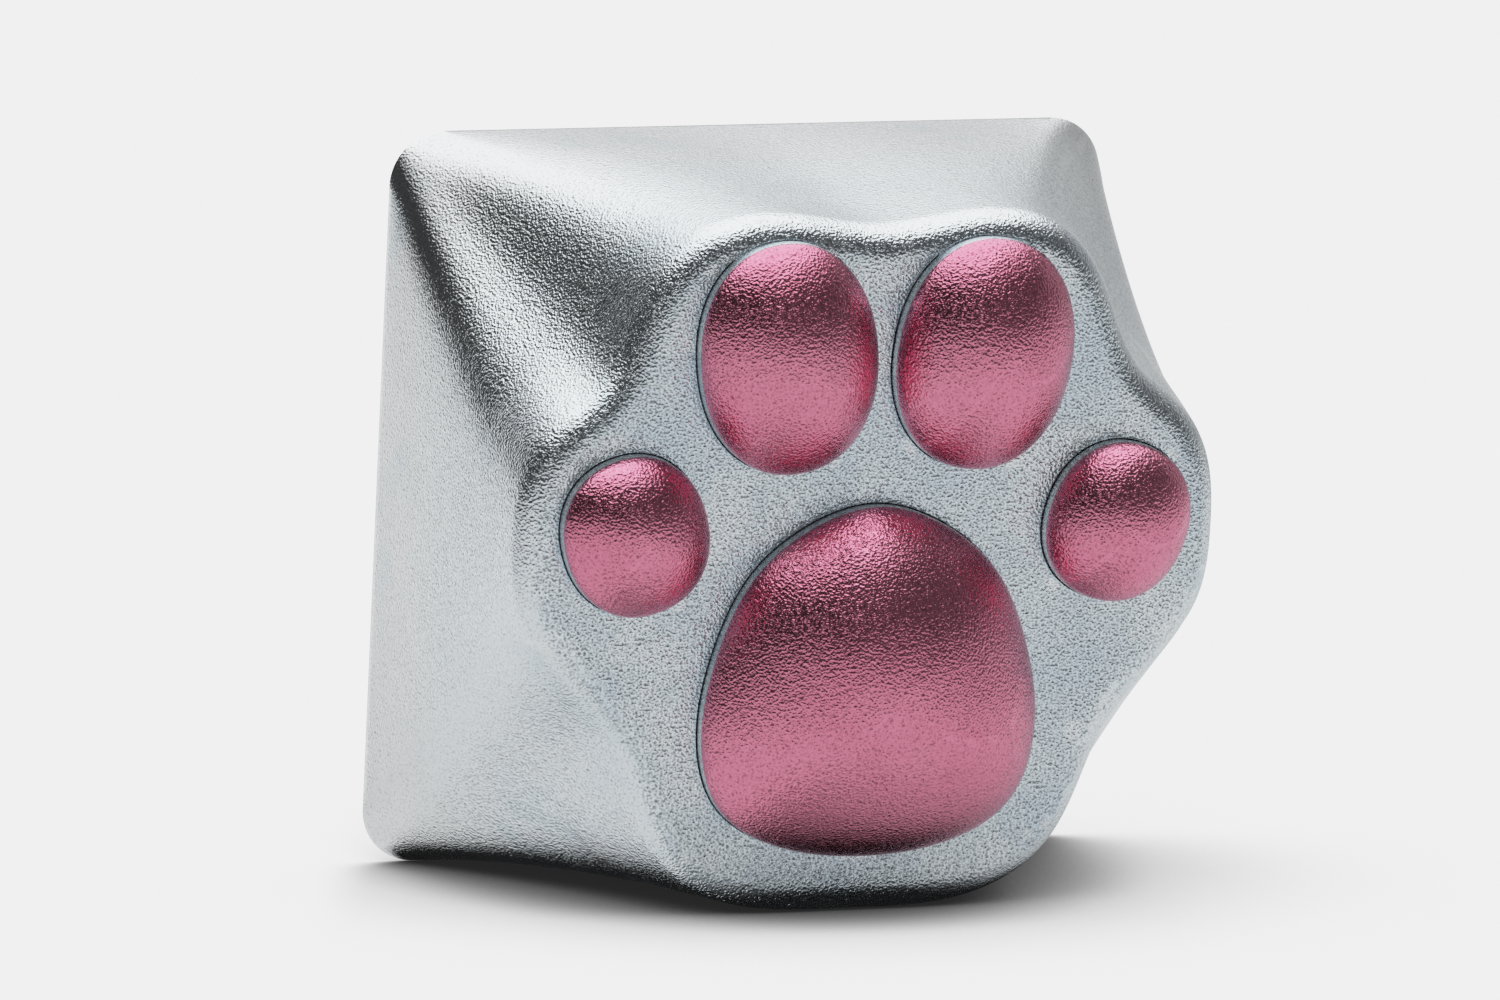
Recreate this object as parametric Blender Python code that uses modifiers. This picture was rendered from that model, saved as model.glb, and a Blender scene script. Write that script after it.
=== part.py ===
"""Cat's-paw keycap for a keyboard key: a hollow metal shell, five domed metal pads bonded into
pockets in its face, and a moulded plastic stem insert bonded to the ceiling of the hollow.

Frame: the origin is the centre of the open rim, +Z runs up the key's axis to the paw face,
+Y points to the toes and +X to the right. Lengths are in metres.
"""

import math

import bmesh
import bpy
import numpy as np
from mathutils import Matrix, Vector

MM = 0.001

# Rim: the open square end that sits over the switch, in the plane z = 0
RIM_HALF = 9.1 * MM
RIM_CORNER = 1.35 * MM
RIM_CHAMFER = 0.12 * MM

# Shell: rises from the rim to a flat face outlined like a paw
FACE_Z = 10.5 * MM
FACE_FILLET = 0.8 * MM
# Sweep of the walls near the rim: 1 is a straight wall, and more pulls it inwards
TOE_END_FLARE = 1.45
PALM_END_FLARE = 1.0
# Right half of the paw's widest outline, clockwise from the dip between the two inner toes
PAW_HALF_MM = (
    (0.0, 8.80),
    (1.45, 8.97),
    (2.9, 9.10),
    (4.4, 8.75),
    (5.45, 7.75),
    (6.1, 6.35),
    (6.8, 5.1),
    (7.85, 4.2),
    (8.57, 3.0),
    (8.78, 1.3),
    (8.58, -0.5),
    (7.5, -2.3),
    (6.4, -3.7),
    (5.8, -5.1),
    (4.95, -6.65),
    (3.15, -7.72),
    (0.0, -7.98),
)
# Where the walls' soft crests land on that half outline, as fractions of its length
CRESTS = (0.175, 0.43, 0.58, 0.81)
STATIONS = (8, 11, 12, 11, 8)  # along half the rim: side, corner, side, corner, side
WALL_ROWS = 9
FILLET_ROWS = 4

# Hollow under the shell: a tapering square pocket
HOLLOW_RIM_HALF = 7.9 * MM
HOLLOW_TOP_HALF = 5.0 * MM
HOLLOW_CORNER = 1.3 * MM
HOLLOW_DEPTH = 6.5 * MM

# Pads: straight-sided slugs with domed tops, standing proud of the face
PAD_SIDE = 0.45 * MM  # straight side that shows above the face
POCKET_DEPTH = 1.0 * MM
POCKET_CLEARANCE = 0.06 * MM
DOME_ROWS = 6
# Right half of the palm pad's outline, from its narrow end to its wide end
PALM_HALF_MM = (
    (0.0, 2.13),
    (1.55, 1.70),
    (2.98, 0.55),
    (3.88, -1.35),
    (4.19, -3.30),
    (3.62, -5.20),
    (1.90, -6.19),
    (0.0, -6.42),
)
PALM_POINTS_PER_SPAN = 3
PALM_DOME = 2.1 * MM
# Right-hand toes; the left-hand ones mirror them. A lean turns the oval's top outwards.
INNER_TOE = {"x": 2.445, "y": 5.775, "half_width": 2.19, "half_length": 2.80, "lean": 7.0, "dome": 1.35}
OUTER_TOE = {"x": 6.035, "y": 1.58, "half_width": 1.77, "half_length": 1.94, "lean": 18.0, "dome": 1.0}
TOE_SQUARENESS = 2.15  # exponent of the superellipse: 2 is an ellipse
TOE_POINTS = 32

# Stem insert: a plate under the hollow's ceiling and a round post with a cross socket
PLATE_HALF = 4.2 * MM
PLATE_CORNER = 0.8 * MM
PLATE_THICK = 1.0 * MM
POST_RADIUS = 2.75 * MM
POST_CHAMFER = 0.2 * MM
POST_ROOT = 0.6 * MM  # cove where the post meets the plate
POST_END_Z = 1.0 * MM
POST_STEPS = 32
SOCKET_ARM = 4.1 * MM
SOCKET_WIDTH_X = 1.3 * MM  # width of the arm that runs along X
SOCKET_WIDTH_Y = 1.1 * MM
SOCKET_DEPTH = 3.9 * MM

# Cured adhesive films under the pads and above the plate
FILM_THICK = 0.08 * MM
FILM_GAP = 0.01 * MM
FILM_INSET = 0.2 * MM

CUT_BEYOND = 1.0 * MM  # how far a cutter runs past the surface it opens
WELD = 1e-4 * MM
SQUARE_STATIONS = (1, 4, 1, 4, 1)  # stations of a plain rounded square
OUTLINE_STEPS = 40  # points to a span while the paw's outline is measured
FLAT_DEGREES = 0.1
COVE_STEPS = 4


# ---- scene, collections and materials ----


def clear_scene():
    for obj in list(bpy.data.objects):
        bpy.data.objects.remove(obj, do_unlink=True)


def new_collection(name):
    collection = bpy.data.collections.new(name)
    bpy.context.scene.collection.children.link(collection)
    return collection


def metal(name, colour, roughness):
    return principled(name, colour, roughness, 1.0)


def principled(name, colour, roughness, metallic=0.0):
    material = bpy.data.materials.new(name)
    material.use_nodes = True
    shader = material.node_tree.nodes["Principled BSDF"]
    shader.inputs["Base Color"].default_value = (*colour, 1.0)
    shader.inputs["Roughness"].default_value = roughness
    shader.inputs["Metallic"].default_value = metallic
    material.diffuse_color = (*colour, 1.0)
    return material


# ---- outlines, as lists of (x, y) ----


def smooth_loop(points, per_span):
    """Points on the closed cubic spline through the given ones, per_span of them to each span."""
    knots = np.array(points)
    count = len(knots)
    spans = np.linalg.norm(np.roll(knots, -1, axis=0) - knots, axis=1)
    before = np.roll(spans, 1)
    system = np.zeros((count, count))
    for i in range(count):
        system[i, i - 1] = spans[i]
        system[i, i] = 2 * (before[i] + spans[i])
        system[i, (i + 1) % count] = before[i]
    chord_after = (np.roll(knots, -1, axis=0) - knots) / spans[:, None]
    chord_before = np.roll(chord_after, 1, axis=0)
    slopes = np.linalg.solve(system, 3 * (spans[:, None] * chord_before + before[:, None] * chord_after))
    loop = []
    for i in range(count):
        j = (i + 1) % count
        for step in range(per_span):
            t = step / per_span
            loop.append(
                (2 * t**3 - 3 * t**2 + 1) * knots[i]
                + (t**3 - 2 * t**2 + t) * spans[i] * slopes[i]
                + (3 * t**2 - 2 * t**3) * knots[j]
                + (t**3 - t**2) * spans[i] * slopes[j]
            )
    return np.array(loop)


def mirrored_loop(half_mm, per_span):
    """The closed outline, clockwise from its top, whose right half runs through half_mm."""
    right = [(x * MM, y * MM) for x, y in half_mm]
    left = [(-x, y) for x, y in reversed(right[1:-1])]
    return smooth_loop(right + left, per_span)


def rounded_square(half, corner, stations):
    """Half outline, clockwise from the top centre to the bottom centre, with the given counts of steps."""
    flat = half - corner
    upper = Vector((flat, flat))
    lower = Vector((flat, -flat))
    points = [(flat * i / stations[0], half) for i in range(stations[0])]
    points += arc(upper, corner, 90, 0, stations[1])
    points += [(half, flat - 2 * flat * i / stations[2]) for i in range(stations[2])]
    points += arc(lower, corner, 0, -90, stations[3])
    points += [(flat - flat * i / stations[4], -half) for i in range(stations[4] + 1)]
    return points


def arc(centre, radius, start, end, steps):
    """Points along an arc in degrees, without its last one."""
    angles = [math.radians(start + (end - start) * i / steps) for i in range(steps)]
    return [(centre[0] + radius * math.cos(a), centre[1] + radius * math.sin(a)) for a in angles]


def closed_by_mirror(half):
    """A closed loop from a right half whose two ends lie on the plane x = 0."""
    return np.array(list(half) + [(-x, y) for x, y in reversed(list(half)[1:-1])])


def paw_stations():
    """The paw's half outline sampled once for each station of the rim, crest for corner end."""
    fine = mirrored_loop(PAW_HALF_MM, OUTLINE_STEPS)
    half = fine[: (len(PAW_HALF_MM) - 1) * OUTLINE_STEPS + 1]
    along = np.concatenate([[0], np.cumsum(np.linalg.norm(np.diff(half, axis=0), axis=1))])
    marks = [0.0, *CRESTS, 1.0]
    wanted = []
    for steps, start, end in zip(STATIONS, marks, marks[1:]):
        wanted += [start + (end - start) * i / steps for i in range(steps)]
    wanted = np.array(wanted + [1.0]) * along[-1]
    return np.column_stack([np.interp(wanted, along, half[:, axis]) for axis in (0, 1)])


def superellipse(toe, side):
    """A toe's oval, mirrored to the left for side -1."""
    lean = math.radians(toe["lean"])
    loop = []
    for i in range(TOE_POINTS):
        a = 2 * math.pi * i / TOE_POINTS
        across = math.copysign(abs(math.cos(a)) ** (2 / TOE_SQUARENESS), math.cos(a)) * toe["half_width"]
        along = math.copysign(abs(math.sin(a)) ** (2 / TOE_SQUARENESS), math.sin(a)) * toe["half_length"]
        x = toe["x"] + across * math.cos(lean) + along * math.sin(lean)
        y = toe["y"] - across * math.sin(lean) + along * math.cos(lean)
        loop.append((side * x * MM, y * MM))
    return np.array(loop)


def clockwise(loop):
    x, y = loop[:, 0], loop[:, 1]
    area = np.sum(x * np.roll(y, -1) - np.roll(x, -1) * y)
    return loop if area < 0 else loop[::-1]


def offset(loop, distance):
    """The clockwise loop moved outwards by distance, or inwards where it is negative."""
    tangent = np.roll(loop, -1, axis=0) - np.roll(loop, 1, axis=0)
    tangent /= np.linalg.norm(tangent, axis=1)[:, None]
    outward = np.column_stack([-tangent[:, 1], tangent[:, 0]])
    return loop + distance * outward


# ---- solids ----


def mesh_object(name, bm, collection):
    bmesh.ops.recalc_face_normals(bm, faces=bm.faces)
    mesh = bpy.data.meshes.new(name)
    bm.to_mesh(mesh)
    bm.free()
    obj = bpy.data.objects.new(name, mesh)
    collection.objects.link(obj)
    return obj


def loft(name, sections, collection, tip=None):
    """A closed solid through sections of (loop, z), each loop with as many points as the next."""
    bm = bmesh.new()
    rings = [[bm.verts.new((x, y, z)) for x, y in loop] for loop, z in sections]
    count = len(rings[0])
    for lower, upper in zip(rings, rings[1:]):
        for i in range(count):
            j = (i + 1) % count
            bm.faces.new((lower[i], lower[j], upper[j], upper[i]))
    bm.faces.new(rings[0])
    if tip is None:
        bm.faces.new(rings[-1])
    else:
        point = bm.verts.new(tip)
        for i in range(count):
            bm.faces.new((rings[-1][i], rings[-1][(i + 1) % count], point))
    return mesh_object(name, bm, collection)


def prism(name, loop, low, high, collection):
    """A flat outline extruded from z = low to z = high: a filled curve, made a mesh."""
    curve = bpy.data.curves.new(name, "CURVE")
    curve.dimensions = "2D"
    curve.fill_mode = "BOTH"
    curve.extrude = (high - low) / 2
    spline = curve.splines.new("POLY")
    spline.points.add(len(loop) - 1)
    for point, (x, y) in zip(spline.points, loop):
        point.co = (x, y, 0, 1)
    spline.use_cyclic_u = True
    guide = bpy.data.objects.new(name + "_outline", curve)
    guide.location.z = (high + low) / 2
    collection.objects.link(guide)
    bpy.context.view_layer.update()
    evaluated = guide.evaluated_get(bpy.context.evaluated_depsgraph_get())
    mesh = bpy.data.meshes.new_from_object(evaluated)
    mesh.name = name
    bm = bmesh.new()
    bm.from_mesh(mesh)
    bmesh.ops.remove_doubles(bm, verts=bm.verts, dist=WELD)
    # The fill's triangles become one flat face at each end, so that none of them is a sliver.
    flat = math.radians(FLAT_DEGREES)
    bmesh.ops.dissolve_limit(bm, angle_limit=flat, verts=bm.verts, edges=bm.edges)
    bmesh.ops.recalc_face_normals(bm, faces=bm.faces)
    bm.to_mesh(mesh)
    bm.free()
    obj = bpy.data.objects.new(name, mesh)
    obj.matrix_world = guide.matrix_world
    collection.objects.link(obj)
    bpy.data.objects.remove(guide, do_unlink=True)
    return obj


def turned(name, profile, steps, collection):
    """A solid of revolution about Z from a profile of (radius, z), top to bottom."""
    mesh = bpy.data.meshes.new(name)
    points = [(radius, 0, z) for radius, z in profile]
    mesh.from_pydata(points, [(i, i + 1) for i in range(len(points) - 1)], [])
    obj = bpy.data.objects.new(name, mesh)
    collection.objects.link(obj)
    screw = obj.modifiers.new("turn", "SCREW")
    screw.steps = steps
    screw.render_steps = steps
    screw.use_merge_vertices = True
    screw.merge_threshold = WELD
    return obj


def boolean(obj, other, operation):
    other.hide_render = True
    other.display_type = "WIRE"
    modifier = obj.modifiers.new(f"{operation.lower()}_{other.name}", "BOOLEAN")
    modifier.operation = operation
    modifier.solver = "EXACT"
    modifier.object = other


def smooth(obj, sharp_degrees=30):
    obj.data.shade_smooth()
    obj.data.set_sharp_from_angle(angle=math.radians(sharp_degrees))


# ---- the sub-parts ----


def shell_sections():
    rim = closed_by_mirror(rounded_square(RIM_HALF, RIM_CORNER, STATIONS))
    paw = closed_by_mirror(paw_stations())
    wall_top = FACE_Z - FACE_FILLET
    toe_share = (1 + rim[:, 1] / RIM_HALF) / 2
    flare = PALM_END_FLARE + (TOE_END_FLARE - PALM_END_FLARE) * toe_share
    sections = [(offset(rim, -RIM_CHAMFER), 0.0)]
    for row in range(WALL_ROWS + 1):
        rise = row / WALL_ROWS
        inward = 1 - (1 - rise) ** flare[:, None]
        z = RIM_CHAMFER + (wall_top - RIM_CHAMFER) * rise
        sections.append((rim + (paw - rim) * inward, z))
    for row in range(1, FILLET_ROWS + 1):
        turn = math.pi / 2 * row / FILLET_ROWS
        inset = FACE_FILLET * (1 - math.cos(turn))
        sections.append((offset(paw, -inset), wall_top + FACE_FILLET * math.sin(turn)))
    return sections


def hollow_cutter(collection):
    slope = (HOLLOW_TOP_HALF - HOLLOW_RIM_HALF) / HOLLOW_DEPTH
    sections = []
    for z in (-CUT_BEYOND, HOLLOW_DEPTH):
        half = HOLLOW_RIM_HALF + slope * z
        sections.append((closed_by_mirror(rounded_square(half, HOLLOW_CORNER, SQUARE_STATIONS)), z))
    return loft("hollow_cutter", sections, collection)


def paw_shell(pads, parts, cutters, material):
    shell = loft("paw_shell", shell_sections(), parts)
    boolean(shell, hollow_cutter(cutters), "DIFFERENCE")
    for name, loop, _ in pads:
        pocket = prism(
            name + "_pocket_cutter",
            offset(loop, POCKET_CLEARANCE),
            FACE_Z - POCKET_DEPTH,
            FACE_Z + CUT_BEYOND,
            cutters,
        )
        boolean(shell, pocket, "DIFFERENCE")
    shell.data.materials.append(material)
    smooth(shell)


def pad_outlines():
    """Name, outline and dome height of each pad."""
    return (
        ("palm_pad", clockwise(mirrored_loop(PALM_HALF_MM, PALM_POINTS_PER_SPAN)), PALM_DOME),
        ("toe_pad_outer_left", clockwise(superellipse(OUTER_TOE, -1)), OUTER_TOE["dome"] * MM),
        ("toe_pad_inner_left", clockwise(superellipse(INNER_TOE, -1)), INNER_TOE["dome"] * MM),
        ("toe_pad_inner_right", clockwise(superellipse(INNER_TOE, 1)), INNER_TOE["dome"] * MM),
        ("toe_pad_outer_right", clockwise(superellipse(OUTER_TOE, 1)), OUTER_TOE["dome"] * MM),
    )


def pad(name, loop, dome, parts, material):
    """A slug whose top is a crowned cap: each contour shrinks about the outline's middle."""
    middle = (loop.min(axis=0) + loop.max(axis=0)) / 2
    foot = FACE_Z - POCKET_DEPTH + FILM_THICK + 2 * FILM_GAP
    shoulder = FACE_Z + PAD_SIDE
    sections = [(loop, foot)]
    for row in range(DOME_ROWS):
        size = 1 - row / DOME_ROWS
        sections.append((middle + (loop - middle) * size, shoulder + dome * (1 - size**2)))
    obj = loft(name, sections, parts, tip=(*middle, shoulder + dome))
    obj.data.materials.append(material)
    smooth(obj)


def film(name, loop, low, parts, material):
    obj = prism(name, loop, low, low + FILM_THICK, parts)
    obj.data.materials.append(material)


def socket_cutter(name, size_x, size_y, collection):
    """A box that opens one arm of the cross, from below the post's end."""
    bpy.ops.mesh.primitive_cube_add(size=1)
    box = bpy.context.object
    box.name = name
    top = POST_END_Z + SOCKET_DEPTH
    low = POST_END_Z - CUT_BEYOND
    box.data.transform(Matrix.Diagonal((size_x, size_y, top - low, 1)))
    box.location.z = (top + low) / 2
    for holder in list(box.users_collection):
        holder.objects.unlink(box)
    collection.objects.link(box)
    return box


def stem_insert(parts, cutters, material):
    plate_top = HOLLOW_DEPTH - FILM_THICK - 2 * FILM_GAP
    plate_low = plate_top - PLATE_THICK
    square = closed_by_mirror(rounded_square(PLATE_HALF, PLATE_CORNER, SQUARE_STATIONS))
    insert = prism("stem_insert", square, plate_low, plate_top, parts)
    into_plate = plate_low + PLATE_THICK / 2
    cove_centre = (POST_RADIUS + POST_ROOT, plate_low - POST_ROOT)
    profile = [(0, into_plate), (POST_RADIUS + POST_ROOT, into_plate)]
    profile += arc(cove_centre, POST_ROOT, 90, 180, COVE_STEPS)
    profile += [
        (POST_RADIUS, cove_centre[1]),
        (POST_RADIUS, POST_END_Z + POST_CHAMFER),
        (POST_RADIUS - POST_CHAMFER, POST_END_Z),
        (0, POST_END_Z),
    ]
    boolean(insert, turned("stem_post", profile, POST_STEPS, cutters), "UNION")
    for name, size_x, size_y in (
        ("socket_arm_x", SOCKET_ARM, SOCKET_WIDTH_X),
        ("socket_arm_y", SOCKET_WIDTH_Y, SOCKET_ARM),
    ):
        boolean(insert, socket_cutter(name, size_x, size_y, cutters), "DIFFERENCE")
    insert.data.materials.append(material)
    smooth(insert)


def build():
    clear_scene()
    parts = new_collection("cat_paw_keycap")
    cutters = new_collection("cutters")
    shell_metal = metal("shell_metal", (0.78, 0.79, 0.80), 0.38)
    pad_metal = metal("pad_metal", (0.72, 0.27, 0.39), 0.30)
    stem_plastic = principled("stem_plastic", (0.80, 0.80, 0.78), 0.45)
    adhesive = principled("adhesive", (0.82, 0.78, 0.62), 0.35)

    pads = pad_outlines()
    paw_shell(pads, parts, cutters, shell_metal)
    pocket_floor = FACE_Z - POCKET_DEPTH
    for name, loop, dome in pads:
        pad(name, loop, dome, parts, pad_metal)
        film(name + "_adhesive", offset(loop, -FILM_INSET), pocket_floor + FILM_GAP, parts, adhesive)
    stem_insert(parts, cutters, stem_plastic)
    bond = closed_by_mirror(rounded_square(PLATE_HALF - FILM_INSET, PLATE_CORNER, SQUARE_STATIONS))
    film("stem_insert_adhesive", bond, HOLLOW_DEPTH - FILM_GAP - FILM_THICK, parts, adhesive)


build()
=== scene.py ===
"""Looks for the cat's-paw keycap: fine meshes, procedural materials, floor, studio light and camera.

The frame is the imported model: +Z up the key's axis from the open rim to the paw face, +Y to the toes,
+X to the right. Lengths are in metres. For its picture the cap lies on its palm side, so the floor is
on the -Y side, and the lighting rig rides with the camera.
"""

import math

import bmesh
import bpy
import numpy as np
from mathutils import Matrix, Vector
from mathutils.geometry import delaunay_2d_cdt


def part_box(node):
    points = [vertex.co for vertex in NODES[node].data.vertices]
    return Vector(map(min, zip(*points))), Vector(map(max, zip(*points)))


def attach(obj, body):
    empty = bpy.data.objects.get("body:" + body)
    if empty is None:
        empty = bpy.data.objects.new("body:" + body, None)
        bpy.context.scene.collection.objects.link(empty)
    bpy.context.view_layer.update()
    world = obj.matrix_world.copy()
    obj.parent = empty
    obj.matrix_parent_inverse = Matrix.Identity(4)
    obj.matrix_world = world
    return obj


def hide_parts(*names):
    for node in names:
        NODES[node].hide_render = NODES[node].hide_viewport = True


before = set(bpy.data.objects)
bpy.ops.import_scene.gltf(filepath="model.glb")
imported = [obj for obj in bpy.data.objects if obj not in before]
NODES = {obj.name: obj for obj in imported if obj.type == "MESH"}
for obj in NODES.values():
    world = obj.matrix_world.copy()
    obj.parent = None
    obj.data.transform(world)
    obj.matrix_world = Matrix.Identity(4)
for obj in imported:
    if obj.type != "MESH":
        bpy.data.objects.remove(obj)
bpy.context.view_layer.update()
BODY = "root"
MM = 0.001

# ---- the shell's shape, as the design gives it ----
RIM_LOW, RIM_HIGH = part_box("paw_shell")
FACE_Z = RIM_HIGH.z
RIM_HALF = RIM_HIGH.x
RIM_CORNER = 1.35 * MM
RIM_CHAMFER = 0.12 * MM
FACE_FILLET = 0.8 * MM
TOE_END_FLARE = 1.45
PALM_END_FLARE = 1.0
CRESTS = (0.175, 0.43, 0.58, 0.81)  # where the rim's corners land along half the paw's outline
HOLLOW_RIM_HALF = 7.9 * MM
HOLLOW_TOP_HALF = 5.0 * MM
HOLLOW_CORNER = 1.3 * MM
HOLLOW_DEPTH = 6.5 * MM
POCKET_DEPTH = 1.0 * MM
POCKET_CLEARANCE = 0.025 * MM
PAD_SIDE = 0.45 * MM
ROUND_SHARE = 0.16  # share of a dome's height that comes from its rounded shoulder

# ---- how finely the visible surfaces are meshed ----
COLUMNS = (64, 50, 100, 46, 64)  # along half the rim: side, corner, side, corner, side
WALL_ROWS = 76
FILLET_ROWS = 18
STRAIGHT_TOP = 0.12  # share of the wall's height that runs straight into the fillet
CRISP_RIM = 0.08  # share of the wall's height over which the crests' softness sets in above the rim
CRISP_TOP = 0.25  # and over which it dies out below the face
SIDE_SOFTNESS = (0.65 * MM, 0.75 * MM)  # of the crests by the side walls: at the rim, at the face
TOE_SOFTNESS = (0.25 * MM, 0.60 * MM)  # of the crests by the toe-end wall
FACE_GRID = 0.16 * MM
OUTLINE_POINTS = 4000  # along the paw's outline, before the columns are picked from it
SPLINE_STEPS = 24  # between two knots of an outline
EDGE_BREAK = 0.02 * MM  # small round on a pocket's mouth
HOLLOW_LIP = 0.1 * MM
HOLLOW_ROOT = 0.35 * MM  # fillet between the hollow's walls and its ceiling
HOLLOW_FIRST_ROW = 0.8 * MM  # height of the first row of the hollow's walls
HOLLOW_ROWS = 8
SHARP_ANGLE = math.radians(50)
PAD_COLUMNS = 224
BARE_GAP = 0.14 * MM  # the anodised skin rolls this far down over the side
ROUNDED_RINGS = 2  # rings of the dome that its rounded shoulder takes up
PAD_RINGS = 44
PAD_CROWDING = 1.15  # above 1 the rings crowd towards the shoulder
SHOULDER_STEPS = 6
PAD_SIDE_ROWS = 8


# ---- loops of points ----


def rounded_square(half, corner, stations):
    """A closed square loop, clockwise from the middle of its top side; stations are per half."""
    flat = half - corner
    points = [(flat * i / stations[0], half) for i in range(stations[0])]
    points += arc((flat, flat), corner, 90, 0, stations[1])
    points += [(half, flat - 2 * flat * i / stations[2]) for i in range(stations[2])]
    points += arc((flat, -flat), corner, 0, -90, stations[3])
    points += [(flat - flat * i / stations[4], -half) for i in range(stations[4] + 1)]
    return mirrored(np.array(points))


def arc(centre, radius, start, end, steps):
    angles = [math.radians(start + (end - start) * i / steps) for i in range(steps)]
    return [(centre[0] + radius * math.cos(a), centre[1] + radius * math.sin(a)) for a in angles]


def mirrored(half):
    """A closed loop from a right half whose two ends lie on the plane x = 0."""
    left = half[-2:0:-1] * (-1, 1)
    return np.concatenate([half, left])


def node_loop(node, height):
    """The CAD node's corners at one height, clockwise from the +Y side, without repeats."""
    points = np.array([v.co for v in NODES[node].data.vertices])
    flat = points[abs(points[:, 2] - height) < 1e-6][:, :2]
    flat = np.unique(np.round(flat, 8), axis=0)
    middle = (flat.min(axis=0) + flat.max(axis=0)) / 2
    around = np.arctan2(flat[:, 0] - middle[0], flat[:, 1] - middle[1])
    return flat[np.argsort(np.mod(around, 2 * np.pi))]


def spline_loop(knots, count):
    """count points, evenly spaced along the closed cubic spline through the knots."""
    n = len(knots)
    spans = np.linalg.norm(np.roll(knots, -1, axis=0) - knots, axis=1)
    before = np.roll(spans, 1)
    system = np.diag(2 * (before + spans))
    for i in range(n):
        system[i, i - 1] += spans[i]
        system[i, (i + 1) % n] += before[i]
    chord_after = (np.roll(knots, -1, axis=0) - knots) / spans[:, None]
    chord_before = np.roll(chord_after, 1, axis=0)
    slopes = np.linalg.solve(system, 3 * (spans[:, None] * chord_before + before[:, None] * chord_after))
    t = np.arange(SPLINE_STEPS)[None, :, None] / SPLINE_STEPS
    ends = np.roll(knots, -1, axis=0)
    end_slopes = np.roll(slopes, -1, axis=0)
    fine = (
        (2 * t**3 - 3 * t**2 + 1) * knots[:, None]
        + (t**3 - 2 * t**2 + t) * (spans[:, None] * slopes)[:, None]
        + (3 * t**2 - 2 * t**3) * ends[:, None]
        + (t**3 - t**2) * (spans[:, None] * end_slopes)[:, None]
    ).reshape(-1, 2)
    along = lengths(np.concatenate([fine, fine[:1]]))
    wanted = np.arange(count) / count * along[-1]
    closed = np.concatenate([fine, fine[:1]])
    return np.column_stack([np.interp(wanted, along, closed[:, axis]) for axis in (0, 1)])


def lengths(points):
    return np.concatenate([[0], np.cumsum(np.linalg.norm(np.diff(points, axis=0), axis=1))])


def outward(loop):
    """Unit normals of a clockwise loop."""
    tangent = np.roll(loop, -1, axis=0) - np.roll(loop, 1, axis=0)
    tangent /= np.linalg.norm(tangent, axis=1)[:, None]
    return np.column_stack([-tangent[:, 1], tangent[:, 0]])


def soften(values, spread):
    """Gaussian smoothing around a closed loop; spread is in points."""
    waves = np.fft.fftfreq(len(values))
    damping = np.exp(-2 * (np.pi * spread * waves) ** 2)
    if values.ndim == 2:
        damping = damping[:, None]
    return np.fft.ifft(np.fft.fft(values, axis=0) * damping, axis=0).real


# ---- meshes ----


def new_piece(name, bm, replaced, materials):
    bmesh.ops.recalc_face_normals(bm, faces=bm.faces)
    mesh = bpy.data.meshes.new(name)
    bm.to_mesh(mesh)
    bm.free()
    for material in materials:
        mesh.materials.append(material)
    mesh.shade_smooth()
    obj = bpy.data.objects.new(name, mesh)
    bpy.context.scene.collection.objects.link(obj)
    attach(obj, BODY)
    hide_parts(replaced)
    return obj


def ring(bm, loop, z):
    heights = np.broadcast_to(z, len(loop))
    return [bm.verts.new((x, y, h)) for (x, y), h in zip(loop, heights)]


def bridge(bm, lower, upper, material=0):
    count = len(lower)
    for i in range(count):
        j = (i + 1) % count
        face = bm.faces.new((lower[i], lower[j], upper[j], upper[i]))
        face.material_index = material


# ---- the shell ----


def wall_rings():
    """Loops and heights of the outer wall from the rim up to the flat of the face."""
    rim = rounded_square(RIM_HALF, RIM_CORNER, COLUMNS)
    wall_top = FACE_Z - FACE_FILLET
    outline = spline_loop(node_loop("paw_shell", wall_top), OUTLINE_POINTS)
    paw = paw_columns(outline)
    height = wall_top - RIM_CHAMFER
    toe_share = (1 + rim[:, 1] / RIM_HALF) / 2
    flare = PALM_END_FLARE + (TOE_END_FLARE - PALM_END_FLARE) * toe_share
    spacing = np.linalg.norm(np.roll(rim, -1, axis=0) - rim, axis=1).mean()
    end_slope = (1 - wall_profile(1 - STRAIGHT_TOP, flare)) / STRAIGHT_TOP
    rows = [(rim + outward(rim) * -RIM_CHAMFER, 0.0)]
    normals = outward(paw)
    lean = np.arctan(np.sum((paw - rim) * -normals, axis=1) * end_slope / height)
    lean = soften(lean, SIDE_SOFTNESS[1] / spacing)
    toe_end = np.clip(outward(rim)[:, 1], 0, 1)[:, None]
    for row in range(WALL_ROWS + 1):
        rise = row / WALL_ROWS
        inward = wall_profile(rise, flare)
        loop = rim + (paw - rim) * inward[:, None]
        fade = min(1, rise / CRISP_RIM, (1 - rise) / CRISP_TOP)
        side, toe = (
            soften(loop, (low + (high - low) * rise) * fade / spacing)
            for low, high in (SIDE_SOFTNESS, TOE_SOFTNESS)
        )
        rows.append((side + (toe - side) * toe_end, RIM_CHAMFER + height * rise))
    for row in range(1, FILLET_ROWS + 1):
        turn = lean + (math.pi / 2 - lean) * row / FILLET_ROWS
        inset = FACE_FILLET * (1 / np.cos(lean) - np.cos(turn))
        rows.append((paw - normals * inset[:, None], wall_top + FACE_FILLET * np.sin(turn)))
    return rows


def wall_profile(rise, flare):
    """How far in the wall has come: a sweep that ends in a straight run."""
    run = flare * STRAIGHT_TOP ** (flare - 1)
    end = 1 - STRAIGHT_TOP**flare + run * STRAIGHT_TOP
    if rise <= 1 - STRAIGHT_TOP:
        return (1 - (1 - rise) ** flare) / end
    return 1 - run * (1 - rise) / end


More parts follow.
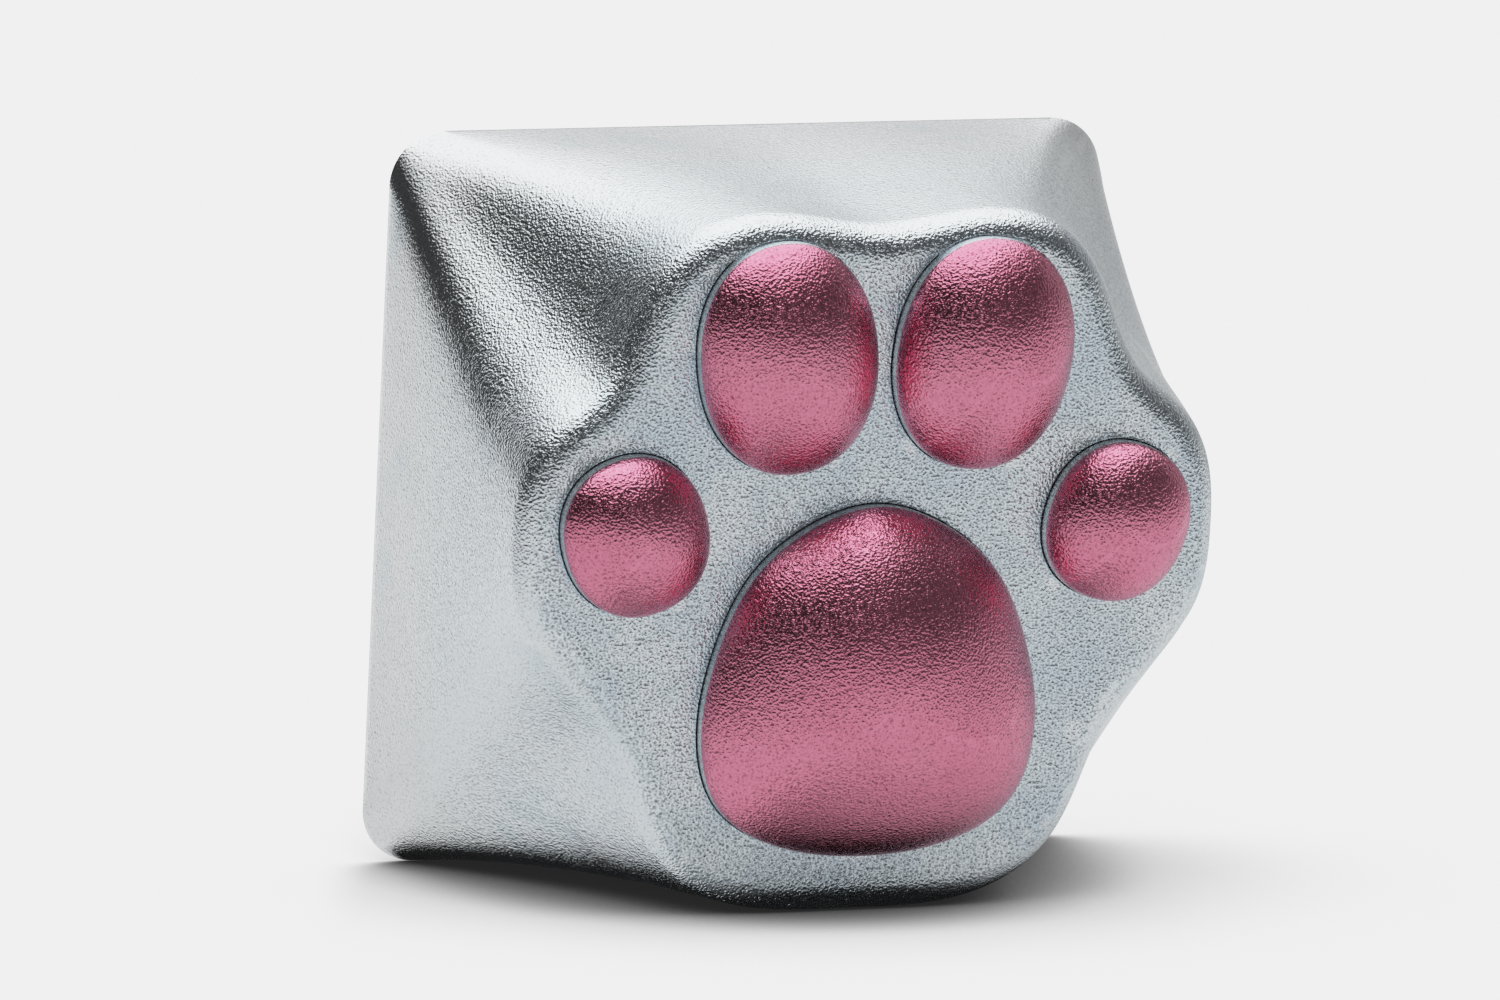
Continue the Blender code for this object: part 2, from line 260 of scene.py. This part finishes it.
def paw_columns(outline):
    """The paw's outline sampled for each column of the wall, crest for corner end."""
    start = np.argmin(abs(outline[:, 0]) + 1e3 * (outline[:, 1] < 0))
    outline = np.roll(outline, -start, axis=0)
    half = outline[: len(outline) // 2 + 1]
    half[0, 0] = 0
    half[-1, 0] = 0
    along = lengths(half)
    marks = [0.0, *CRESTS, 1.0]
    wanted = []
    for steps, first, last in zip(COLUMNS, marks, marks[1:]):
        wanted += [first + (last - first) * i / steps for i in range(steps)]
    wanted = np.array(wanted + [1.0]) * along[-1]
    return mirrored(np.column_stack([np.interp(wanted, along, half[:, axis]) for axis in (0, 1)]))


def face_sheet(bm, edge, pockets):
    """The flat of the face between the fillet's last ring and the pockets' mouths."""
    loops = [edge, *pockets]
    points, edges, owners = [], [], []
    for loop in loops:
        first = len(points)
        points += [Vector((v.co.x, v.co.y)) for v in loop]
        owners += loop
        edges += [(first + i, first + (i + 1) % len(loop)) for i in range(len(loop))]
    outlines = [np.array([(v.co.x, v.co.y) for v in loop]) for loop in loops]
    fill = face_fill(outlines)
    points += [Vector(p) for p in fill]
    made = delaunay_2d_cdt(points, edges, [], 0, 1e-9)
    coords, _, triangles, origins = made[0], made[1], made[2], made[3]
    verts = []
    for co, origin in zip(coords, origins):
        known = [i for i in origin if i < len(owners)]
        verts.append(owners[known[0]] if known else bm.verts.new((co[0], co[1], FACE_Z)))
    centres = np.array([[sum(coords[i][axis] for i in t) / 3 for axis in (0, 1)] for t in triangles])
    keep = inside(centres, outlines[0])
    for hole in outlines[1:]:
        keep &= ~inside(centres, hole)
    for triangle, kept in zip(triangles, keep):
        if kept:
            bm.faces.new([verts[i] for i in triangle])
    loose = [v for v in verts if not v.link_faces]
    bmesh.ops.delete(bm, geom=loose, context="VERTS")


def face_fill(outlines):
    """A staggered grid of points on the face, clear of every loop."""
    low, high = outlines[0].min(axis=0), outlines[0].max(axis=0)
    rows = np.arange(low[1], high[1], FACE_GRID * 0.866)
    points = []
    for k, y in enumerate(rows):
        xs = np.arange(low[0] + FACE_GRID * 0.5 * (k % 2), high[0], FACE_GRID)
        points += [(x, y) for x in xs]
    points = np.array(points)
    keep = inside(points, outlines[0])
    for hole in outlines[1:]:
        keep &= ~inside(points, hole)
    points = points[keep]
    for loop in outlines:
        gaps = np.linalg.norm(points[:, None] - loop[None], axis=2).min(axis=1)
        points = points[gaps > FACE_GRID * 0.6]
    return [tuple(p) for p in points]


def inside(points, loop):
    """Even-odd test of each point against a closed loop."""
    x, y = points[:, 0], points[:, 1]
    found = np.zeros(len(points), bool)
    ends = np.roll(loop, -1, axis=0)
    for (x0, y0), (x1, y1) in zip(loop, ends):
        if y0 == y1:
            continue
        crosses = (y0 > y) != (y1 > y)
        found ^= crosses & (x < x0 + (y - y0) * (x1 - x0) / (y1 - y0))
    return found


def pocket(bm, loop):
    """A pocket's wall and floor; returns the loop of its mouth, a small round out from the wall."""
    normals = outward(loop)
    floor = ring(bm, loop, FACE_Z - POCKET_DEPTH)
    below = floor
    for turn in np.radians((0, 30, 60)):
        grown = loop + normals * EDGE_BREAK * (1 - math.cos(turn))
        above = ring(bm, grown, FACE_Z - EDGE_BREAK * (1 - math.sin(turn)))
        bridge(bm, below, above)
        below = above
    mouth = ring(bm, loop + normals * EDGE_BREAK, FACE_Z)
    bridge(bm, below, mouth)
    bm.faces.new(floor)
    return mouth


def hollow(bm, rim_ring):
    """The underside: rim land, tapering hollow and its ceiling."""
    slope = (HOLLOW_TOP_HALF - HOLLOW_RIM_HALF) / HOLLOW_DEPTH
    root = HOLLOW_ROOT
    levels = [(HOLLOW_LIP, 0.0), (0.0, HOLLOW_LIP)]
    levels += [(0.0, z) for z in np.linspace(HOLLOW_FIRST_ROW, HOLLOW_DEPTH - root, HOLLOW_ROWS)]
    levels += [
        (-root * (1 - math.cos(turn)), HOLLOW_DEPTH - root * (1 - math.sin(turn)))
        for turn in np.radians((30, 60, 90))
    ]
    last = rim_ring
    for grow, z in levels:
        half = HOLLOW_RIM_HALF + slope * z + grow
        upper = ring(bm, rounded_square(half, HOLLOW_CORNER, COLUMNS), z)
        bridge(bm, last, upper)
        last = upper
    bm.faces.new(last)


def paw_shell(pads, material):
    bm = bmesh.new()
    rings = [ring(bm, loop, z) for loop, z in wall_rings()]
    for lower, upper in zip(rings, rings[1:]):
        bridge(bm, lower, upper)
    mouths = [pocket(bm, loop + outward(loop) * POCKET_CLEARANCE) for loop in pads.values()]
    face_sheet(bm, rings[-1], mouths)
    hollow(bm, rings[0])
    obj = new_piece("keycap_shell", bm, "paw_shell", [material])
    obj.data.set_sharp_from_angle(angle=SHARP_ANGLE)
    return obj


# ---- the pads ----


def pad_loops():
    """Each pad's outline, read from its CAD node's foot."""
    return {
        name: spline_loop(node_loop(name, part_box(name)[0].z), PAD_COLUMNS)
        for name in NODES
        if name.endswith("_pad") or name.startswith("toe_pad") and not name.endswith("adhesive")
    }


def pad(node, loop, dome_material, side_material):
    """A crowned slug: bare straight side, a small rounded shoulder, then the dome."""
    low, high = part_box(node)
    shoulder = FACE_Z + PAD_SIDE
    dome = high.z - shoulder
    middle = (loop.min(axis=0) + loop.max(axis=0)) / 2
    bm = bmesh.new()
    foot = ring(bm, loop, low.z)
    bm.faces.new(foot)
    last = foot
    for z in np.linspace(low.z, shoulder - BARE_GAP, PAD_SIDE_ROWS)[1:]:
        upper = ring(bm, loop, z)
        bridge(bm, last, upper, 1)
        last = upper

    def crown(size):
        rise = (1 - ROUND_SHARE) * (1 - size**2) + ROUND_SHARE * (1 - size**8)
        return size, shoulder + dome * rise

    sizes = [1 - (i / PAD_RINGS) ** PAD_CROWDING for i in range(1, PAD_RINGS)]
    size, z = crown(sizes[ROUNDED_RINGS])
    for t in np.arange(1, SHOULDER_STEPS) / SHOULDER_STEPS:
        part = 1 - (1 - size) * t * t
        height = (1 - t) ** 2 * (shoulder - BARE_GAP) + 2 * t * (1 - t) * shoulder + t * t * z
        upper = ring(bm, middle + (loop - middle) * part, height)
        bridge(bm, last, upper)
        last = upper
    for size, z in map(crown, sizes[ROUNDED_RINGS:]):
        upper = ring(bm, middle + (loop - middle) * size, z)
        bridge(bm, last, upper)
        last = upper
    tip = bm.verts.new((*middle, high.z))
    for i in range(len(last)):
        bm.faces.new((last[i], last[(i + 1) % len(last)], tip))
    obj = new_piece(node + "_dome", bm, node, [dome_material, side_material])
    obj.data.set_sharp_from_angle(angle=SHARP_ANGLE)
    return obj


# ---- pieces that stay as the design made them ----


def dress(node, material):
    """A design node keeps its mesh and place and only gets a finer material."""
    obj = NODES[node]
    obj.data.materials.clear()
    obj.data.materials.append(material)


# ---- materials ----

# Noise scales, in waves to the metre.
GRAIN = 16000.0
MOTTLING = 420.0
STAIN = 260.0
STAIN_BLUE = (0.50, 0.64, 0.72, 1)


class Nodes:
    """Short calls for building a node tree."""

    def __init__(self, tree):
        self.tree = tree
        tree.nodes.clear()

    def add(self, kind, inputs=None, **settings):
        node = self.tree.nodes.new(kind)
        for key, value in settings.items():
            setattr(node, key, value)
        for key, value in (inputs or {}).items():
            self.set(node.inputs[key], value)
        return node

    def set(self, socket, value):
        if isinstance(value, bpy.types.NodeSocket):
            self.tree.links.new(value, socket)
        elif value is not None:
            socket.default_value = value

    def math(self, operation, a, b=None, clamp=False):
        node = self.add("ShaderNodeMath", {0: a, 1: b}, operation=operation, use_clamp=clamp)
        return node.outputs[0]

    def between(self, value, low, high, start=0.0, end=1.0):
        """A smooth step from start to end as value goes from low to high."""
        inputs = {"Value": value, "From Min": low, "From Max": high, "To Min": start, "To Max": end}
        return self.add("ShaderNodeMapRange", inputs, interpolation_type="SMOOTHSTEP").outputs[0]

    def noise(self, place, scale, detail=2.0, roughness=0.5):
        inputs = {"Vector": place, "Scale": scale, "Detail": detail, "Roughness": roughness}
        return self.add("ShaderNodeTexNoise", inputs).outputs["Fac"]

    def direction(self, vector):
        """A socket that holds one unit vector."""
        return self.add("ShaderNodeCombineXYZ", dict(enumerate(vector.normalized()))).outputs[0]

    def mix(self, share, a, b):
        node = self.add("ShaderNodeMix", data_type="RGBA")
        for key, value in ((0, share), (6, a), (7, b)):
            self.set(node.inputs[key], value)
        return node.outputs[2]

    def occlusion(self, distance, samples, normal=None):
        """How open the floor is, from 0 to 1, looking as far as distance."""
        inputs = {"Distance": distance, "Normal": normal}
        return self.add("ShaderNodeAmbientOcclusion", inputs, samples=samples).outputs["AO"]

    def surface(self, inputs):
        shader = self.add("ShaderNodeBsdfPrincipled", inputs)
        self.add("ShaderNodeOutputMaterial", {"Surface": shader.outputs[0]})


def new_material(name):
    material = bpy.data.materials.new(name)
    material.use_nodes = True
    return material, Nodes(material.node_tree)


def grained_metal(name, colour, dark, roughness, depth, face=None):
    """Blasted metal: worm-like grain from two sizes of noise, painted shade in pinholes and slow mottling.

    The grain is shallower near the rim. face is the pair of tints of the shell's face, which also colour
    the upper walls; the face has more painted-shade specks and pinholes than the walls, and a faint blue
    stain.
    """
    material, n = new_material(name)
    place = n.add("ShaderNodeTexCoord").outputs["Object"]
    height = n.add("ShaderNodeSeparateXYZ", {0: place}).outputs[2]
    fine = n.noise(place, GRAIN, 1.0, 0.4)
    coarse = n.noise(place, GRAIN * 0.5, 1.0, 0.4)
    relief = n.math("ADD", n.math("MULTIPLY", fine, 0.75), n.math("MULTIPLY", coarse, 0.25))
    strength = n.between(height, 0.5 * MM, 6.5 * MM, 0.4, 1.0)
    bump = n.add("ShaderNodeBump", {"Strength": strength, "Distance": depth, "Height": relief})
    slow = n.noise(place, MOTTLING, 3.0, 0.6)
    base = n.mix(n.between(slow, 0.35, 0.7, 0.0, 0.35), (*colour, 1), (*dark, 1))
    # how much painted shade goes into the specks and pinholes
    speck_shade_amount, pit_shade_amount = 0.22, 0.6
    if face:
        on_face = face_mask(n)
        light, deep = face
        base = n.mix(n.between(height, 1.5 * MM, 6 * MM), base, (*[c * 0.95 for c in light], 1))
        base = n.mix(on_face, base, n.mix(n.between(slow, 0.3, 0.65), (*light, 1), (*deep, 1)))
        stain = n.between(n.noise(place, STAIN, 4.0, 0.65), 0.54, 0.72, 0.0, 0.3)
        base = n.mix(stain, base, STAIN_BLUE)
        speck_shade_amount = n.between(on_face, 0.0, 1.0, 0.12, 0.5)
        pit_shade_amount = n.between(on_face, 0.0, 1.0, 0.4, 0.95)
    # painted shade: specks and the grain's lowest points are darkened as if shade filled its pinholes and
    # hollows
    shadowed = (*[c * 0.3 for c in dark], 1)
    speck_shade_mask = n.between(n.noise(place, GRAIN, 0.0), 0.35, 0.65, 1.0, 0.0)
    pit_shade_mask = n.between(fine, 0.40, 0.26)
    base = n.mix(n.math("MULTIPLY", speck_shade_mask, speck_shade_amount), base, shadowed)
    base = n.mix(n.math("MULTIPLY", pit_shade_mask, pit_shade_amount), base, shadowed)
    worn = n.between(n.add("ShaderNodeNewGeometry").outputs["Pointiness"], 0.505, 0.56)
    base = n.mix(n.math("MULTIPLY", worn, 0.4), base, (*[min(1, c * 1.15) for c in colour], 1))
    shine = n.between(slow, 0.3, 0.7, roughness * 0.85, roughness * 1.15)
    shine = n.math("MULTIPLY", shine, n.between(worn, 0.0, 1.0, 1.0, 0.75))
    n.surface({"Base Color": base, "Metallic": 1.0, "Roughness": shine, "Normal": bump.outputs[0]})
    return material


def moulded_plastic(name, colour):
    """Satin moulded plastic with a faint flow pattern and a fine bump."""
    material, n = new_material(name)
    place = n.add("ShaderNodeTexCoord").outputs["Object"]
    fine = n.noise(place, 9000.0, 2.0, 0.5)
    slow = n.noise(place, 350.0, 3.0, 0.6)
    bump = n.add("ShaderNodeBump", {"Strength": 1.0, "Distance": 0.004 * MM, "Height": fine})
    base = n.mix(n.between(slow, 0.3, 0.7), (*colour, 1), (*[c * 0.9 for c in colour], 1))
    worn = n.mix(n.math("MULTIPLY", edge_share(n), 0.5), base, (0.92, 0.92, 0.9, 1))
    shine = n.between(slow, 0.3, 0.7, 0.34, 0.48)
    n.surface({"Base Color": worn, "Roughness": shine, "Normal": bump.outputs[0]})
    return material


def cured_adhesive(name):
    """A thin amber film of cured glue."""
    material, n = new_material(name)
    place = n.add("ShaderNodeTexCoord").outputs["Object"]
    bubbles = n.noise(place, 5000.0, 3.0, 0.6)
    bump = n.add("ShaderNodeBump", {"Strength": 0.6, "Distance": 0.01 * MM, "Height": bubbles})
    base = n.mix(n.between(bubbles, 0.35, 0.65), (0.82, 0.76, 0.56, 1), (0.68, 0.60, 0.40, 1))
    shine = n.between(bubbles, 0.3, 0.7, 0.2, 0.4)
    n.surface({"Base Color": base, "Roughness": shine, "Normal": bump.outputs[0]})
    return material


def edge_share(n, radius=0.06 * MM):
    """1 on outside corners, where handling polishes the surface, 0 on flats and in hollows."""
    plain = n.add("ShaderNodeNewGeometry")
    rounded = n.add("ShaderNodeBevel", {"Radius": radius}, samples=4)
    turned = n.add(
        "ShaderNodeVectorMath", {0: rounded.outputs[0], 1: plain.outputs["Normal"]}, operation="DOT_PRODUCT"
    )
    corner = n.between(turned.outputs["Value"], 0.99, 0.85)
    hollow = n.between(plain.outputs["Pointiness"], 0.48, 0.52)
    return n.math("MULTIPLY", corner, hollow)


def face_mask(n):
    """1 on the flat of the paw face, 0 on the walls."""
    facing = n.add("ShaderNodeSeparateXYZ", {0: n.add("ShaderNodeNewGeometry").outputs["True Normal"]})
    return n.between(facing.outputs[2], 0.75, 0.98)


# ---- stage ----

TONE_KNEE = 0.35  # the tone curve is straight up to here
TONE_TOP = 0.95  # what it bends towards
TONE_END = 4.0
TONE_POINTS = 24
SHOWN_BACKDROP = 0.871  # the photograph's plain ground, as shown
BACKDROP_LEVEL = TONE_KNEE - (TONE_TOP - TONE_KNEE) * math.log(
    1 - (SHOWN_BACKDROP - TONE_KNEE) / (TONE_TOP - TONE_KNEE)
)
BACKDROP = (BACKDROP_LEVEL, BACKDROP_LEVEL, BACKDROP_LEVEL, 1)
FLOOR_RADIUS = 140 * MM
FLOOR_GAP = 0.02 * MM
AWAY_FROM_SHADOW_FREE_SIDE = (0.95, 0.0, 0.32)  # the floor's painted shadow is kept off the side this points away from, as if a lamp stood there
DARK_ROOM = 0.05  # the studio's level where no light stands
OVERHEAD_LEVEL = 2.0
TABLE_LEVEL = 0.88
FAR_TABLE_LEVEL = 0.84
ROOM_TINT = (0.97, 0.99, 1.0, 1)

CAMERA_DISTANCE = 328 * MM
CAMERA_SIDE = (-0.3215, 0.2322, 0.918)  # from the cap towards the camera
CAMERA_UP = (0.03, 0.97, -0.235)
CAMERA_SHIFT = (0.482 * MM, -0.313 * MM)  # right and up of the line to the cap's middle
LENS = 322.2


def floor_plane():
    """(a point, unit normal) of the plane that the lying cap rests on: its rim and its palm end."""
    wall_top = FACE_Z - FACE_FILLET
    palm_end = node_loop("paw_shell", wall_top)[:, 1].min()
    foot = Vector((0, RIM_LOW.y, 0))
    toe = Vector((0, palm_end, wall_top))
    along = (toe - foot).normalized()
    normal = Vector((1, 0, 0)).cross(along)
    normal = normal if normal.y > 0 else -normal
    return foot - normal * FLOOR_GAP, normal


def floor_material(point, normal):
    """Plain pale glowing floor with a painted soft shadow; it vanishes for a camera behind it or level with
    it.
    """
    material, n = new_material("pale_floor")
    # the glow's strength carries the painted shadow; the transparent shade is the painted contact shade that
    # reflections see
    glow = n.add("ShaderNodeEmission", {"Strength": tone_undone(n, floor_shown(n, normal))})
    shade = n.add("ShaderNodeBsdfTransparent", {"Color": floor_contact(n)})
    seen = n.add("ShaderNodeLightPath").outputs["Is Camera Ray"]
    painted_shadow_floor = n.add("ShaderNodeMixShader", {0: seen, 1: shade.outputs[0], 2: glow.outputs[0]})
    clear = n.add("ShaderNodeBsdfTransparent")
    front = n.between(camera_height(n, point, normal), 0.03, 0.12)
    shader = n.add("ShaderNodeMixShader", {0: front, 1: clear.outputs[0], 2: painted_shadow_floor.outputs[0]})
    n.add("ShaderNodeOutputMaterial", {"Surface": shader.outputs[0]})
    return material


def floor_shown(n, normal):
    """The floor as shown: the plain ground with a painted shadow, darker near the cap, except on the -X side,
    where it is kept off.
    """
    # painted shadow: the cap's nearness darkens the glow, leaning as if light came from this side
    shadow_lean = n.direction(normal + Vector((-0.05, 0, 0.1)))
    wide = n.between(n.occlusion(32 * MM, 24, shadow_lean), 0.3, 0.88, 0.55, 1.0)
    close = n.between(n.occlusion(4 * MM, 16), 0.05, 0.78, 0.04, 1.0)
    place = n.add("ShaderNodeNewGeometry").outputs["Position"]
    across = n.add("ShaderNodeVectorMath", {0: place, 1: AWAY_FROM_SHADOW_FREE_SIDE}, operation="DOT_PRODUCT")
    reach = n.between(across.outputs["Value"], -1.08 * RIM_HALF, -0.9 * RIM_HALF, 0.08, 1.0)
    # painted shadow, faded out on the side away from AWAY_FROM_SHADOW_FREE_SIDE's direction
    shadow = n.math("MULTIPLY", n.math("SUBTRACT", 1.0, n.math("MULTIPLY", wide, close)), reach)
    return n.math("MULTIPLY", n.math("SUBTRACT", 1.0, shadow), SHOWN_BACKDROP)


def floor_contact(n):
    """Painted contact shade for reflections: how much of the studio they see through the floor,
    little where the cap touches it.

    Rays that arrive towards -X, which the left wall sends, are let through.
    """
    # painted contact shade, from how near the cap is
    touch = n.between(n.occlusion(2.5 * MM, 12), 0.40, 0.62, 0.02, 1.0)
    near = n.between(n.occlusion(20 * MM, 12), 0.3, 0.85, 0.4, 1.0)
    back = n.add("ShaderNodeSeparateXYZ", {0: n.add("ShaderNodeNewGeometry").outputs["Incoming"]})
    return n.between(back.outputs[0], 0.1, 0.4, n.math("MULTIPLY", touch, near), 1.0)


def camera_height(n, point, normal):
    """Sine of the angle at which the camera looks down on the plane: below 0 it is behind it."""
    eye = n.add(
        "ShaderNodeVectorTransform",
        {0: (0, 0, 0)},
        vector_type="POINT",
        convert_from="CAMERA",
        convert_to="WORLD",
    )
    toward = n.add("ShaderNodeVectorMath", {0: eye.outputs[0], 1: tuple(point)}, operation="SUBTRACT")
    toward = n.add("ShaderNodeVectorMath", {0: toward.outputs[0]}, operation="NORMALIZE")
    sine = n.add("ShaderNodeVectorMath", {0: toward.outputs[0], 1: tuple(normal)}, operation="DOT_PRODUCT")
    return sine.outputs["Value"]


def tone_undone(n, shown):
    """The scene level that the camera's tone curve shows at this level."""
    room = TONE_TOP - TONE_KNEE
    over = n.math("DIVIDE", n.math("MAXIMUM", n.math("SUBTRACT", shown, TONE_KNEE), 0.0), room)
    lift = n.math("MULTIPLY", n.math("LOGARITHM", n.math("SUBTRACT", 1.0, over), math.e), room)
    return n.math("SUBTRACT", n.math("MINIMUM", shown, TONE_KNEE), lift)


def floor():
    point, normal = floor_plane()
    bm = bmesh.new()
    bmesh.ops.create_circle(bm, cap_ends=True, segments=96, radius=FLOOR_RADIUS)
    mesh = bpy.data.meshes.new("floor")
    bm.to_mesh(mesh)
    bm.free()
    mesh.materials.append(floor_material(point, normal))
    obj = bpy.data.objects.new("floor", mesh)
    bpy.context.scene.collection.objects.link(obj)
    turn = normal.to_track_quat("Z", "Y")
    obj.matrix_world = Matrix.Translation(point + Vector((0, 0, FACE_Z / 2))) @ turn.to_matrix().to_4x4()
    offset = (obj.matrix_world.translation - point).dot(normal)
    obj.location -= normal * offset


def studio_world():
    """A studio that rides with the camera, so that every view has the photograph's reflections."""
    world = bpy.data.worlds.new("studio")
    world.use_nodes = True
    bpy.context.scene.world = world
    n = Nodes(world.node_tree)
    way = n.add("ShaderNodeTexCoord").outputs["Generated"]
    turned = n.add(
        "ShaderNodeVectorTransform", {0: way}, vector_type="VECTOR", convert_from="WORLD", convert_to="CAMERA"
    )
    axes = n.add("ShaderNodeSeparateXYZ", {0: turned.outputs[0]})
    right, up, away = axes.outputs
    level = DARK_ROOM
    for light in (
        backdrop(n, right, away),
        right_wall(n, right, away),
        overhead_box(n, right, up, away),
        front_table(n, up),
        far_table(n, up, away),
    ):
        level = n.math("MAXIMUM", light, level)
    room = n.add("ShaderNodeBackground", {"Color": ROOM_TINT, "Strength": level})
    plain = n.add("ShaderNodeBackground", {"Color": BACKDROP, "Strength": 1.0})
    seen = n.add("ShaderNodeLightPath").outputs["Is Camera Ray"]
    shader = n.add("ShaderNodeMixShader", {0: seen, 1: room.outputs[0], 2: plain.outputs[0]})
    n.add("ShaderNodeOutputWorld", {"Surface": shader.outputs[0]})


# Each light takes the parts of a unit direction along the camera's right, up and away from it.


def backdrop(n, right, away):
    """The white ground behind the cap, brightest on the left."""
    level = n.math("MULTIPLY", n.between(away, 0.5, 0.85), n.between(right, -0.4, 0.5, 1.12, 0.5))
    return n.math("MULTIPLY", level, n.between(right, -0.80, -0.64, 0.45, 1.0))


def right_wall(n, right, away):
    return n.math("MULTIPLY", n.between(right, 0.0, 0.15), n.between(away, -0.17, 0.73, 0.12, 0.42))


def overhead_box(n, right, up, away):
    """A soft box overhead, whose edge comes lower to the back and stands higher to the right."""
    edge = n.math("SUBTRACT", up, n.math("MULTIPLY", n.math("MAXIMUM", right, 0.0), 0.2))
    past = n.math("MAXIMUM", n.math("SUBTRACT", away, 0.25), 0.0)
    edge = n.math("ADD", edge, n.math("MULTIPLY", past, 0.22))
    return n.math("MULTIPLY", n.between(edge, 0.5, 0.84), OVERHEAD_LEVEL)


def front_table(n, up):
    """The pale table in front, dimmer straight below, where the cap shades it."""
    return n.math("MULTIPLY", n.between(up, 0.18, -0.39), n.between(up, -1.0, -0.93, 0.2, TABLE_LEVEL))


def far_table(n, up, away):
    return n.math("MULTIPLY", n.between(up, 0.06, -0.04), n.between(away, -0.3, 0.3, 0.0, FAR_TABLE_LEVEL))


def camera():
    """A long lens, off the key's axis to the left and towards the toes, rolled so that the toes are up."""
    data = bpy.data.cameras.new("camera")
    data.sensor_width = 36.0
    data.lens = LENS
    data.clip_start = 0.01
    data.clip_end = 10.0
    obj = bpy.data.objects.new("camera", data)
    bpy.context.scene.collection.objects.link(obj)
    toward = Vector(CAMERA_SIDE).normalized()
    up = Vector(CAMERA_UP)
    up = (up - toward * up.dot(toward)).normalized()
    right = up.cross(toward)
    place = toward * CAMERA_DISTANCE + right * CAMERA_SHIFT[0] + up * CAMERA_SHIFT[1]
    turn = Matrix((right, up, toward)).transposed().to_4x4()
    obj.matrix_world = Matrix.Translation(place) @ turn
    bpy.context.scene.camera = obj


def tone_curve():
    """A camera-like shoulder: straight up to the knee, then bending over towards white."""
    view = bpy.context.scene.view_settings
    view.view_transform = "Standard"
    view.use_curve_mapping = True
    curves = view.curve_mapping
    curves.clip_max_x = curves.clip_max_y = TONE_END
    curves.extend = "HORIZONTAL"
    for channel in (0, 1, 2):
        curves.curves[channel].points[1].location = (TONE_END, TONE_END)
    points = curves.curves[3].points
    points[0].location = (0, 0)
    points[1].location = (TONE_END, tone(TONE_END))
    for i in range(1, TONE_POINTS):
        level = TONE_KNEE + (TONE_END - TONE_KNEE) * (i / TONE_POINTS) ** 1.6
        points.new(level, tone(level))
    points.new(TONE_KNEE, TONE_KNEE)
    points.new(TONE_KNEE / 2, TONE_KNEE / 2)
    curves.update()


def tone(level):
    room = TONE_TOP - TONE_KNEE
    return TONE_KNEE + room * (1 - math.exp(-(level - TONE_KNEE) / room))


def main():
    blue_grey = ((0.82, 0.87, 0.90), (0.66, 0.75, 0.82))
    shell_metal = grained_metal(
        "blasted_silver", (0.79, 0.80, 0.805), (0.69, 0.715, 0.74), 0.12, 0.035 * MM, face=blue_grey
    )
    pad_metal = grained_metal("anodised_rose", (0.77, 0.26, 0.375), (0.70, 0.20, 0.31), 0.09, 0.033 * MM)
    bare_metal = grained_metal("bare_side", (0.74, 0.81, 0.86), (0.60, 0.68, 0.73), 0.4, 0.008 * MM)
    pads = pad_loops()
    paw_shell(pads, shell_metal)
    for name, loop in pads.items():
        pad(name, loop, pad_metal, bare_metal)
    dress("stem_insert", moulded_plastic("moulded_plastic", (0.78, 0.78, 0.76)))
    for name in NODES:
        if name.endswith("adhesive"):
            dress(name, cured_adhesive(name))
    floor()
    studio_world()
    camera()
    tone_curve()


main()
